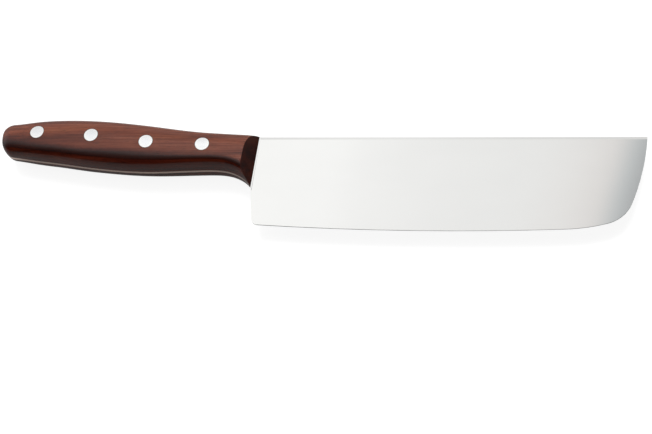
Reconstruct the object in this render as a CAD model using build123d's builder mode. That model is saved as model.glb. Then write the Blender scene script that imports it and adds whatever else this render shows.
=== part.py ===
from build123d import *
import math
import os

os.makedirs("parts", exist_ok=True)

# A nakiri knife lying on its side. +X runs to the tip, +Y to the spine and +Z up through the thickness,
# to the knife's right side. The origin is under the middle of the knife, on the surface that it lies on.

# Driving dimensions in millimetres
blade_length = 180.4
blade_height = 46.8
spine_thickness = 1.8
edge_thickness = 0.62
handle_length = 124.8
handle_thickness = 18.6
crest_height = 8.4
belly_depth = 18.35

# The blade's own values
edge_bevel_width = 0.9
edge_bevel_depth = 0.35
edge_rest = 0.12
grind_run_out = 12.0
tip_grind_fade = 1.0
spine_bevel_width = 1.3
spine_bevel_depth = 0.2
heel_radius = 3.0
heel_top_depth = 26.0
heel_setback = 1.2
blade_root = 5.0
distal_taper = 0.3
plunge_gap = 0.6

# The tang and the front of the handle
tang_thickness = spine_thickness
junction_lean = 1.2
front_bevel_run = 5.0
front_overrun = 3.0
beak_run = 18.3
beak_drop = 13.0
beak_setback = 0.2

# The rounded butt of the handle
butt_run = 6.8
butt_crest_round = 4.4
butt_belly_round = 8.4
butt_side_round = 5.0

# The two-part rivets
rivet_head_diameter = 6.6
rivet_head_depth = 3.4
rivet_shank_diameter = 5.0
rivet_bore_diameter = 3.2
rivet_first = 19.0
rivet_pitch = 27.17
rivet_end_gap = 0.3
rivet_pin_length = 8.5
hole_clearance = 0.05
press_clearance = 0.02
overrun = 5.0

# The blade's outline, as shares of its length and height: the middle and end of the tip's curve, the end of
# the corner, the end of the curve that leads into the edge, then the long edge's middle and its end
tip_middle_shares = (0.984, 0.340)
tip_end_shares = (0.9518, 0.7045)
corner_end_shares = (0.8909, 0.9098)
curve_end_shares = (0.790, 0.972)
edge_middle_shares = (0.416, 1.000)
edge_end_shares = (0.003, 0.950)
blade_root_share = 0.6

# Handle sections from the start of the butt's rounding forward: place as a share of the handle's length
# behind the blade, crest as a share of the crest's height, belly as a share of its depth, thickness as a
# share of the handle's, and how square the belly is, where 0.55 is an ellipse and 1 a near box
station_shares = (
    (0.945, 0.74, 0.600, 0.86, 0.90),
    (0.865, 0.89, 0.678, 0.93, 1.03),
    (0.769, 0.985, 0.760, 0.965, 1.09),
    (0.673, 0.98, 0.855, 0.985, 1.11),
    (0.577, 0.895, 0.934, 1.000, 1.05),
    (0.481, 0.745, 0.986, 1.000, 1.05),
    (0.385, 0.555, 1.000, 1.000, 1.10),
    (0.288, 0.340, 0.975, 0.990, 1.19),
    (0.192, 0.175, 0.950, 0.980, 1.24),
)
beak_shares = (0.0, 0.32, 0.58, 0.77, 0.90, 0.98)
beak_crest_shares = (0.128, 0.085, 0.06, 0.045, 0.03, 0.015)
beak_belly_share = 0.95
beak_thickness_share = 0.975
beak_square_share = 1.24
dome_share = 0.64
butt_angle_shares = (1.0, 0.82, 0.62, 0.42, 0.22)

# Rivet heights under the spine line, from the butt forward, as shares of the belly's depth
rivet_depth_shares = (0.04, 0.147, 0.335, 0.404)

# Places worked out from the sizes above
overall_length = blade_length + handle_length
junction_x = handle_length - overall_length / 2
tip_x = junction_x + blade_length
butt_x = junction_x - handle_length
spine_y = (blade_height - crest_height) / 2
mid_z = handle_thickness / 2
tang_top = mid_z + tang_thickness / 2
head_floor = mid_z - rivet_head_depth


def blade_point(length_share, height_share):
    return (junction_x + length_share * blade_length, spine_y - height_share * blade_height)


def handle_section(x, crest, belly, half_thickness, square):
    """Draws one section of the handle: domed faces, a round crest and a squarer belly."""
    middle = spine_y + (crest - belly) / 2
    reach = (crest + belly) / 2
    with BuildSketch(Plane.YZ.offset(x)) as section:
        with BuildLine():
            for up, out in ((1, 1), (1, -1), (-1, -1), (-1, 1)):
                pull = dome_share if up > 0 else square
                top = (middle + up * reach, mid_z)
                top_pull = (middle + up * reach, mid_z + out * pull * half_thickness)
                side_pull = (middle + up * dome_share * reach, mid_z + out * half_thickness)
                side = (middle, mid_z + out * half_thickness)
                if up == out:
                    Bezier(side, side_pull, top_pull, top)
                else:
                    Bezier(top, top_pull, side_pull, side)
        make_face()
    return section.sketch


# The handle's whole outer form, which the tang, the scales and the rivet heads are all ground to
handle_sections = []
place, crest_share, belly_share, thick_share, square_share = station_shares[0]
for angle_share in butt_angle_shares:
    angle = math.radians(90 * angle_share)
    inset = 1 - math.cos(angle)
    handle_sections.append(
        handle_section(
            butt_x + butt_run * (1 - math.sin(angle)),
            crest_share * crest_height - butt_crest_round * inset,
            belly_share * belly_depth - butt_belly_round * inset,
            thick_share * handle_thickness / 2 - butt_side_round * inset,
            square_share,
        )
    )
for place, crest_share, belly_share, thick_share, square_share in station_shares:
    handle_sections.append(
        handle_section(
            junction_x - place * handle_length,
            crest_share * crest_height,
            belly_share * belly_depth,
            thick_share * handle_thickness / 2,
            square_share,
        )
    )
for run_share, crest_share in zip(beak_shares, beak_crest_shares):
    rise = math.sqrt(1 - run_share**2)
    beak_x = junction_x - beak_setback - (1 - run_share) * beak_run
    beak_depth = beak_belly_share * belly_depth + beak_drop * (1 - rise)
    handle_sections.append(
        handle_section(
            beak_x,
            crest_share * crest_height,
            beak_depth,
            beak_thickness_share * handle_thickness / 2,
            beak_square_share,
        )
    )
beak_slope = beak_drop / beak_run * run_share / rise
front_x = junction_x + front_overrun
front_section = handle_section(
    front_x,
    0,
    beak_depth + beak_slope * (front_x - beak_x),
    beak_thickness_share * handle_thickness / 2,
    beak_square_share,
)
with BuildPart() as handle_form:
    loft(handle_sections)
    loft([handle_sections[-1], front_section], ruled=True)

# The line where the wood ends and the blade begins leans a little from the heel up to the spine
junction_top = Vector(junction_x + junction_lean, spine_y, tang_top)
junction_line = Vector(junction_lean + heel_setback, heel_top_depth, 0)
bevel_fall = Vector(-front_bevel_run, 0, (handle_thickness - tang_thickness) / 2)
front_bevel = Plane(origin=junction_top, z_dir=bevel_fall.cross(junction_line) * -1)
tang_normal = Vector(junction_line.Y, -junction_line.X, 0)
tang_front = Plane(origin=junction_top + Vector(plunge_gap, 0, 0), z_dir=tang_normal)

rivet_places = [
    (butt_x + rivet_first + number * rivet_pitch, spine_y - share * belly_depth)
    for number, share in enumerate(rivet_depth_shares)
]

# The full tang is a flat slab ground to the handle's outline
with BuildPart() as tang:
    add(handle_form.part)
    split(bisect_by=Plane.XY.offset(tang_top), keep=Keep.BOTTOM)
    split(bisect_by=Plane.XY.offset(tang_top - tang_thickness), keep=Keep.TOP)
    split(bisect_by=tang_front, keep=Keep.BOTTOM)

# The blade and the tang are one piece of steel. The blade is ground flat from spine to edge
flank_slope = (spine_thickness - edge_thickness) / 2 / blade_height
distal_slope = distal_taper / 2 / blade_length
root_x = junction_x - blade_root
heel_top = (junction_x - heel_setback, spine_y - heel_top_depth)
with BuildLine(Plane.XY.offset(mid_z)) as outline:
    spine = Line((root_x, spine_y), (tip_x, spine_y))
    tip = ThreePointArc(spine @ 1, blade_point(*tip_middle_shares), blade_point(*tip_end_shares))
    corner = TangentArc(tip @ 1, blade_point(*corner_end_shares), tangent=tip % 1)
    curve = TangentArc(corner @ 1, blade_point(*curve_end_shares), tangent=corner % 1)
    edge = ThreePointArc(curve @ 1, blade_point(*edge_middle_shares), blade_point(*edge_end_shares))
    Polyline(edge @ 1, heel_top, (root_x, spine_y - heel_top_depth * blade_root_share), (root_x, spine_y))

# What sharpening takes off each side, along the edge and up round the tip. Its path eases off the tip
# towards the spine, where the blade is thicker, and runs on past both ends
with BuildPart() as edge_grind:
    with BuildLine(Plane.XY.offset(mid_z)) as grind_path:
        TangentArc(tip @ 1, spine @ 1 + Vector(tip_grind_fade, grind_run_out, 0), tangent=(tip % 1) * -1)
        add(corner)
        add(curve)
        add(edge)
        Line(edge @ 1, edge @ 1 + (edge % 1) * grind_run_out)
    start = grind_path.wires()[0]
    with BuildSketch(Plane(origin=start @ 0, x_dir=(0, 0, 1), z_dir=start % 0)):
        for side in (1, -1):
            with BuildLine():
                grind_slope = edge_bevel_width / edge_bevel_depth
                low = edge_rest / 2
                Polyline(
                    (side * low / 2, -low / 2 * grind_slope),
                    (side * (low + spine_thickness), spine_thickness * grind_slope),
                    (side * (low + spine_thickness), -low / 2 * grind_slope),
                    close=True,
                )
            make_face()
    sweep(path=start)

with BuildPart() as blade:
    with BuildSketch(Plane.XY.offset(mid_z)):
        add(outline.line)
        make_face()
        fillet(vertices().sort_by_distance(edge @ 1)[0], heel_radius)
    extrude(amount=spine_thickness / 2, both=True)
    for side in (1, -1):
        flank = Plane(
            origin=(root_x, spine_y, mid_z + side * spine_thickness / 2),
            z_dir=(distal_slope, -flank_slope, side),
        )
        split(bisect_by=flank, keep=Keep.BOTTOM)
        spine_bevel = Plane(
            origin=(root_x, spine_y, mid_z + side * (spine_thickness / 2 - spine_bevel_depth)),
            z_dir=(distal_slope, spine_bevel_depth / spine_bevel_width - flank_slope, side),
        )
        split(bisect_by=spine_bevel, keep=Keep.BOTTOM)
    add(edge_grind.part, mode=Mode.SUBTRACT)
    add(tang.part)
    with Locations(*[(x, y, tang_top) for x, y in rivet_places]):
        Hole(radius=rivet_shank_diameter / 2 + hole_clearance)
blade.part.label = "blade"
export_step(blade.part, "parts/blade.step")

# The two wooden scales lie on the tang's faces, drilled and counterbored for the rivets
with BuildPart() as right_scale:
    add(handle_form.part)
    split(bisect_by=Plane.XY.offset(tang_top), keep=Keep.TOP)
    split(bisect_by=front_bevel, keep=Keep.BOTTOM)
    with Locations(*[(x, y, handle_thickness + overrun) for x, y in rivet_places]):
        CounterBoreHole(
            radius=rivet_shank_diameter / 2 + hole_clearance,
            counter_bore_radius=rivet_head_diameter / 2 + hole_clearance,
            counter_bore_depth=overrun + rivet_head_depth,
        )
right_scale.part.label = "right_scale"
export_step(right_scale.part, "parts/right_scale.step")

with BuildPart() as left_scale:
    mirror(right_scale.part, about=Plane.XY.offset(mid_z))
left_scale.part.label = "left_scale"
export_step(left_scale.part, "parts/left_scale.step")

# Each rivet is a tubular socket from the right and a pin from the left that is pressed into it.
# Their heads are ground flush with the wood
for number, (x, y) in enumerate(rivet_places, start=1):
    with BuildPart() as socket:
        with BuildSketch(Plane.XY.offset(mid_z + head_floor)):
            with Locations((x, y)):
                Circle(rivet_head_diameter / 2)
        extrude(amount=rivet_head_depth + overrun)
        add(handle_form.part, mode=Mode.INTERSECT)
        with BuildSketch(Plane.XY.offset(mid_z - head_floor + rivet_end_gap)):
            with Locations((x, y)):
                Circle(rivet_shank_diameter / 2)
        extrude(amount=2 * head_floor - rivet_end_gap)
        with BuildSketch(Plane.XY.offset(mid_z - head_floor + rivet_end_gap)):
            with Locations((x, y)):
                Circle(rivet_bore_diameter / 2)
        extrude(amount=rivet_pin_length, mode=Mode.SUBTRACT)
    socket.part.label = f"rivet_socket_{number}"
    export_step(socket.part, f"parts/rivet_socket_{number}.step")

    with BuildPart() as pin:
        with BuildSketch(Plane.XY.offset(mid_z - head_floor)):
            with Locations((x, y)):
                Circle(rivet_head_diameter / 2)
        extrude(amount=-(rivet_head_depth + overrun))
        add(handle_form.part, mode=Mode.INTERSECT)
        with BuildSketch(Plane.XY.offset(mid_z - head_floor)):
            with Locations((x, y)):
                Circle(rivet_bore_diameter / 2 - press_clearance)
        extrude(amount=rivet_pin_length)
    pin.part.label = f"rivet_pin_{number}"
    export_step(pin.part, f"parts/rivet_pin_{number}.step")
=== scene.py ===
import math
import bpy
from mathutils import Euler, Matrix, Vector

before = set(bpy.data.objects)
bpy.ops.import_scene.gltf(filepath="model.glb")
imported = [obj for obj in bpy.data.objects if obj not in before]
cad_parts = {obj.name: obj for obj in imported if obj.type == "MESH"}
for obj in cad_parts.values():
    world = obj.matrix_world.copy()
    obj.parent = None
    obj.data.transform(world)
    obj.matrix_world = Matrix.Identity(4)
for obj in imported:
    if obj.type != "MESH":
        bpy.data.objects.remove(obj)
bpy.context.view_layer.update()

# %% [markdown]
# A nakiri knife: one piece of polished steel, two scales of dark wood and four rivets. Every piece comes from
# the imported frame in its real place and size, so this file gives each one its finish, and then builds the
# table, the light and the camera.

mm = 0.001
print("pieces:", sorted(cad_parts))

# %% [markdown]
# Materials are networks of nodes. Small helpers keep the cells below short: they start a material, add a node
# with its settings, add a sum, or build a row of colour stops. All patterns read Object coordinates, which
# are metres in the frame, so a pattern has a real size and stays with the knife.

# %% Helpers for materials


def new_material(name):
    material = bpy.data.materials.new(name)
    material.use_nodes = True
    shader = material.node_tree.nodes["Principled BSDF"]
    return material, material.node_tree, shader


def add_node(tree, kind, inputs=None, **settings):
    node = tree.nodes.new(kind)
    for key, value in settings.items():
        setattr(node, key, value)
    for key, value in (inputs or {}).items():
        if isinstance(value, bpy.types.NodeSocket):
            tree.links.new(value, node.inputs[key])
        else:
            node.inputs[key].default_value = value
    return node


def maths(tree, operation, a, b=0.0):
    return add_node(tree, "ShaderNodeMath", {0: a, 1: b}, operation=operation).outputs[0]


def times_plus(tree, value, factor, offset):
    return maths(tree, "ADD", maths(tree, "MULTIPLY", value, factor), offset)


def from_zero_to_one(tree, share):
    """Turn a direction's share of -1 to 1 into a place of 0 to 1 on a ramp."""
    return times_plus(tree, share, 0.5, 0.5)


def ramp(tree, factor, stops, interpolation="LINEAR"):
    node = add_node(tree, "ShaderNodeValToRGB", {"Fac": factor})
    node.color_ramp.interpolation = interpolation
    while len(node.color_ramp.elements) < len(stops):
        node.color_ramp.elements.new(0.5)
    for element, (place, colour) in zip(node.color_ramp.elements, stops):
        element.position = place
        element.color = (*colour, 1.0)
    return node.outputs["Color"]


def grey_ramp(tree, factor, stops, interpolation="LINEAR"):
    return ramp(tree, factor, [(place, (grey, grey, grey)) for place, grey in stops], interpolation)


def multiply(tree, a, b):
    first, second, result = 6, 7, 2
    inputs = {"Factor": 1.0, first: a, second: b}
    node = add_node(tree, "ShaderNodeMix", inputs, data_type="RGBA", blend_type="MULTIPLY")
    return node.outputs[result]


def place_of(tree):
    return add_node(tree, "ShaderNodeTexCoord").outputs["Object"]


def noise(tree, scale, shift=(0, 0, 0), detail=3.0, roughness=0.5, distortion=0.0):
    mapping = add_node(
        tree, "ShaderNodeMapping", {"Vector": place_of(tree), "Scale": scale, "Location": shift}
    )
    texture = add_node(
        tree,
        "ShaderNodeTexNoise",
        {
            "Vector": mapping.outputs["Vector"],
            "Scale": 1.0,
            "Detail": detail,
            "Roughness": roughness,
            "Distortion": distortion,
        },
    )
    return texture.outputs["Fac"]


def distance_in_plan(tree, centre):
    """How far a point is from a rivet's axis, in metres."""
    flat = add_node(tree, "ShaderNodeVectorMath", {0: place_of(tree), 1: (1, 1, 0)}, operation="MULTIPLY")
    span = {0: flat.outputs["Vector"], 1: (centre.x, centre.y, 0)}
    return add_node(tree, "ShaderNodeVectorMath", span, operation="DISTANCE").outputs["Value"]


# %% [markdown]
# The rivets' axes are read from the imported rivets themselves, so the rings in the wood and on the metal stay
# true to them when the part changes.

# %% Find the rivets


def middle_of(piece):
    corners = [piece.matrix_world @ Vector(corner) for corner in piece.bound_box]
    return sum(corners, Vector()) / len(corners)


rivet_centres = {
    name: middle_of(piece) for name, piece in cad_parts.items() if name.startswith("rivet_")
}
sockets = [centre for name, centre in sorted(rivet_centres.items()) if "socket" in name]
head_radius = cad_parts["rivet_socket_1"].dimensions.x / 2
print("rivet axes in mm:", [(round(c.x / mm, 1), round(c.y / mm, 1)) for c in sockets])

# %% [markdown]
# The scales are a dense red-brown wood with its grain along the handle. Real grain is several things at once:
# slow drifts from rust to brown, broad bands of light and dark, fine streaks inside them, and short open
# pores. Each is a noise that is stretched along X by its own amount, so they can be set apart. Round each
# rivet a thin ring of painted shadow darkens the wood at the joint. Painted shade darkens and reddens the wood
# in a band along the shoulder over the belly. It follows the surface's own direction, so it fades over the
# rounded form. Faces turned to the front, +X, are a little darker, and the cut end grain there is duller.

# %% Wood
rivet_shadow_width = 0.45 * mm
wood_relief = 0.05 * mm


def make_wood(name, shift):
    material, tree, shader = new_material(name)
    drift = noise(tree, (14, 90, 90), shift, detail=2.0)
    bands = noise(tree, (7, 300, 300), shift, detail=3.0, distortion=0.5)
    streaks = noise(tree, (26, 1500, 1500), shift, detail=6.0, roughness=0.64)
    pores = noise(tree, (240, 4600, 4600), shift, detail=2.0)
    grain = maths(tree, "ADD", maths(tree, "MULTIPLY", bands, 0.5), maths(tree, "MULTIPLY", streaks, 0.5))
    brown = ramp(tree, grain, (
        (0.38, (0.085, 0.0150, 0.0060)),
        (0.47, (0.155, 0.0310, 0.0120)),
        (0.54, (0.215, 0.0480, 0.0200)),
        (0.63, (0.280, 0.0740, 0.0340)),
    ))
    warmth = ramp(tree, drift, ((0.36, (0.86, 0.84, 0.92)), (0.52, (1, 1, 1)), (0.66, (1.10, 1.24, 1.02))))
    pore_mask = grey_ramp(tree, pores, ((0.32, 0.50), (0.42, 1.0)))
    colour = multiply(tree, multiply(tree, brown, warmth), pore_mask)
    facing = add_node(tree, "ShaderNodeTexCoord").outputs["Normal"]
    facing = add_node(tree, "ShaderNodeSeparateXYZ", {0: facing}).outputs
    # Painted shade: the wood darkens by which way the surface faces, in a band along the belly's shoulder.
    painted_belly_shade = ramp(tree, from_zero_to_one(tree, facing["Y"]), (
        (0.03, (0.95, 0.62, 0.45)),
        (0.14, (0.66, 0.36, 0.24)),
        (0.27, (0.12, 0.05, 0.03)),
        (0.41, (0.12, 0.05, 0.02)),
        (0.45, (0.30, 0.15, 0.08)),
        (0.485, (0.66, 0.50, 0.38)),
        (0.53, (1.0, 1.0, 1.0)),
        (0.90, (0.86, 0.90, 0.90)),
    ))
    colour = multiply(tree, colour, painted_belly_shade)
    # Faces turned to the front, +X, are a little darker.
    colour = multiply(tree, colour, grey_ramp(tree, facing["X"], ((0.3, 1.0), (0.6, 0.90))))
    # Painted shadow: a thin dark ring in the wood round each rivet head.
    for centre in sockets:
        ring = times_plus(tree, distance_in_plan(tree, centre), 1 / rivet_shadow_width, -head_radius / rivet_shadow_width)
        colour = multiply(tree, colour, grey_ramp(tree, ring, ((0.2, 0.35), (1.0, 1.0)), "EASE"))
    tree.links.new(colour, shader.inputs["Base Color"])
    cut_end = grey_ramp(tree, facing["X"], ((0.3, 0.0), (0.6, 0.35)))
    rough = maths(tree, "ADD", times_plus(tree, streaks, 0.12, 0.16), cut_end)
    tree.links.new(rough, shader.inputs["Roughness"])
    shader.inputs["Specular IOR Level"].default_value = 0.45
    pits = maths(tree, "MULTIPLY", pore_mask, 0.6)
    height = maths(tree, "ADD", pits, maths(tree, "MULTIPLY", streaks, 0.4))
    bump = add_node(tree, "ShaderNodeBump", {"Height": height, "Strength": 0.22, "Distance": wood_relief})
    tree.links.new(bump.outputs["Normal"], shader.inputs["Normal"])
    return material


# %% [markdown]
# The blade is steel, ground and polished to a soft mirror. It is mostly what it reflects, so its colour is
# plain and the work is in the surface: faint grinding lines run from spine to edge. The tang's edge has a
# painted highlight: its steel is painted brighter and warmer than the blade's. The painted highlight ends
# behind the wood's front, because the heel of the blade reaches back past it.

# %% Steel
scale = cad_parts["right_scale"]
wood_front = max((scale.matrix_world @ Vector(corner)).x for corner in scale.bound_box)
heel_reach = 3.4 * mm
highlight_fade = 1.0 * mm
line_relief = 0.008 * mm
print("the wood ends at x =", round(wood_front / mm, 1), "mm")


def make_steel():
    material, tree, shader = new_material("blade_steel")
    shader.inputs["Metallic"].default_value = 1.0
    along = add_node(tree, "ShaderNodeSeparateXYZ", {0: place_of(tree)}).outputs["X"]
    # Painted highlight: the tang's edge, behind the wood's front, is painted brighter and warmer than the
    # blade.
    past_wood = times_plus(tree, along, 1 / highlight_fade, (heel_reach - wood_front) / highlight_fade)
    tone = ramp(tree, past_wood, ((0.0, (0.98, 0.74, 0.64)), (1.0, (0.80, 0.80, 0.795))))
    clouds = grey_ramp(tree, noise(tree, (30, 60, 60), detail=2.0), ((0.35, 0.985), (0.65, 1.0)))
    tree.links.new(multiply(tree, tone, clouds), shader.inputs["Base Color"])
    lines = noise(tree, (3500, 40, 40), detail=4.0, roughness=0.6)
    tree.links.new(times_plus(tree, lines, 0.05, 0.045), shader.inputs["Roughness"])
    bump = add_node(tree, "ShaderNodeBump", {"Height": lines, "Strength": 0.04, "Distance": line_relief})
    tree.links.new(bump.outputs["Normal"], shader.inputs["Normal"])
    return material


# %% [markdown]
# The rivets are soft bright metal. Their heads were sanded flush with the wood by hand, which leaves fine
# scratches across the middle and a brighter rim.

# %% Rivets


def make_rivet_metal(name, centre):
    material, tree, shader = new_material(name)
    shader.inputs["Metallic"].default_value = 1.0
    rim = times_plus(tree, distance_in_plan(tree, centre), 1 / head_radius, 0.0)
    tone = ramp(tree, rim, (
        (0.0, (0.96, 0.97, 0.99)),
        (0.62, (0.97, 0.98, 0.99)),
        (0.86, (1, 1, 0.99)),
    ))
    scratches = noise(tree, (400, 4200, 400), detail=3.0, roughness=0.6)
    worn = grey_ramp(tree, scratches, ((0.3, 0.96), (0.7, 1.0)))
    tree.links.new(multiply(tree, tone, worn), shader.inputs["Base Color"])
    tree.links.new(times_plus(tree, scratches, 0.12, 0.16), shader.inputs["Roughness"])
    return material


# %% Give each piece its finish
finishes = {
    "blade": make_steel(),
    "right_scale": make_wood("right_wood", (0.0, 0.0, 0.0)),
    "left_scale": make_wood("left_wood", (3.1, 0.7, 1.9)),
}
for name, centre in rivet_centres.items():
    finishes[name] = make_rivet_metal(name + "_metal", centre)
for name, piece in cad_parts.items():
    for slot in piece.material_slots:
        slot.material = finishes[name]
    print(name, "is finished in", finishes[name].name, "with", len(piece.data.polygons), "faces")

# %% [markdown]
# The knife lies on a white table. A white floor under plain light is only pale grey in the picture, so Light
# Path adds a glow for the rays that go to the camera and a little for mirrored ones, and the shadow stays.

# %% Table
table_size = 6.0
table_grey = 0.32
camera_glow = 0.90
mirror_glow = 0.14
bpy.ops.mesh.primitive_plane_add(size=table_size, location=(0, 0, 0))
table = bpy.context.object
table.name = "table"
paper, tree, shader = new_material("white_table")
shader.inputs["Base Color"].default_value = (table_grey, table_grey, table_grey, 1.0)
shader.inputs["Roughness"].default_value = 0.9
shader.inputs["Specular IOR Level"].default_value = 0.0
rays = add_node(tree, "ShaderNodeLightPath").outputs
mirrored = maths(tree, "MAXIMUM", rays["Is Glossy Ray"], rays["Is Transmission Ray"])
seen = maths(tree, "MULTIPLY", rays["Is Camera Ray"], camera_glow)
glow = maths(tree, "ADD", seen, maths(tree, "MULTIPLY", mirrored, mirror_glow))
shader.inputs["Emission Color"].default_value = (1, 1, 1, 1)
tree.links.new(glow, shader.inputs["Emission Strength"])
table.data.materials.append(paper)

# %% [markdown]
# The light is a wide white screen behind and above the knife. It ends overhead, so the front half of the
# studio is dark, which deepens the dark band along the handle. The price is a blade that looks black from
# behind, where it mirrors that dark half. The screen also fades to the right, past the tip, with a soft
# slanted end. It is painted on the world by direction, because the polished blade is only as good as what it
# mirrors. Two sums place a direction on the screen: how far back, and how far right.

# %% Light
screen_slant = 0.32
screen_middle = 0.5
world = bpy.data.worlds.new("studio")
bpy.context.scene.world = world
world.use_nodes = True
sky = world.node_tree
direction = add_node(sky, "ShaderNodeTexCoord").outputs["Generated"]
split = add_node(sky, "ShaderNodeSeparateXYZ", {0: direction}).outputs
depth = grey_ramp(sky, from_zero_to_one(sky, split["Y"]), (
    (0.06, 0.04),
    (0.26, 0.03),
    (0.32, 0.12),
    (0.45, 0.20),
    (0.52, 0.50),
    (0.60, 0.97),
    (0.66, 1.00),
    (0.714, 1.00),
    (0.733, 0.93),
    (0.83, 0.86),
    (0.95, 0.80),
))
slant = maths(sky, "SUBTRACT", split["X"], maths(sky, "MULTIPLY", split["Y"], screen_slant))
across = ramp(sky, maths(sky, "ADD", slant, screen_middle), (
    (0.00, (0.95, 0.95, 0.95)),
    (0.188, (1.165, 1.165, 1.15)),
    (0.262, (1.15, 1.15, 1.14)),
    (0.30, (1.09, 1.09, 1.08)),
    (0.375, (1.03, 1.03, 1.02)),
    (0.45, (1.00, 1.00, 0.99)),
    (0.497, (0.96, 0.945, 0.93)),
    (0.524, (0.91, 0.88, 0.86)),
    (0.539, (0.62, 0.66, 0.67)),
    (0.556, (0.46, 0.465, 0.47)),
    (0.72, (0.36, 0.36, 0.37)),
    (0.85, (0.20, 0.20, 0.20)),
))
background = sky.nodes["Background"]
sky.links.new(multiply(sky, depth, across), background.inputs["Color"])
background.inputs["Strength"].default_value = 1.0

# %% [markdown]
# One lamp behind and above the handle gives the wood its colour. It is kept out of reflections, because the
# screen already draws those.

# %% Lamp
lamp_strength = 1.65
lamp_width = 25
lamp_direction = Vector((-0.15, 0.50, 0.83))
lamp_data = bpy.data.lights.new("key", "SUN")
lamp_data.energy = lamp_strength
lamp_data.angle = math.radians(lamp_width)
lamp = bpy.data.objects.new("key", lamp_data)
lamp.rotation_euler = lamp_direction.to_track_quat("Z", "Y").to_euler()
lamp.visible_glossy = False
bpy.context.scene.collection.objects.link(lamp)
print("lamp at", round(90 - math.degrees(lamp_direction.angle((0, 0, 1))), 1), "degrees over the table")

# %% [markdown]
# The camera stands where the photographer stood: on the edge's side, a little towards the tip.

# %% Camera
camera_place = Vector((62.5, -203.3, 450.7)) * mm
camera_turn = [math.radians(angle) for angle in (22.42, 6.617, 0.412)]
lens_length = 58.02
sensor_width = 36.0
camera_data = bpy.data.cameras.new("camera")
camera_data.lens = lens_length
camera_data.sensor_width = sensor_width
camera_data.sensor_fit = "HORIZONTAL"
camera = bpy.data.objects.new("camera", camera_data)
bpy.context.scene.collection.objects.link(camera)
camera.location = camera_place
camera.rotation_mode = "ZYX"
camera.rotation_euler = Euler(camera_turn, "ZYX")
bpy.context.scene.camera = camera
bpy.context.scene.view_settings.view_transform = "Standard"
print("camera", round(camera.location.length / mm), "mm from the knife's middle")
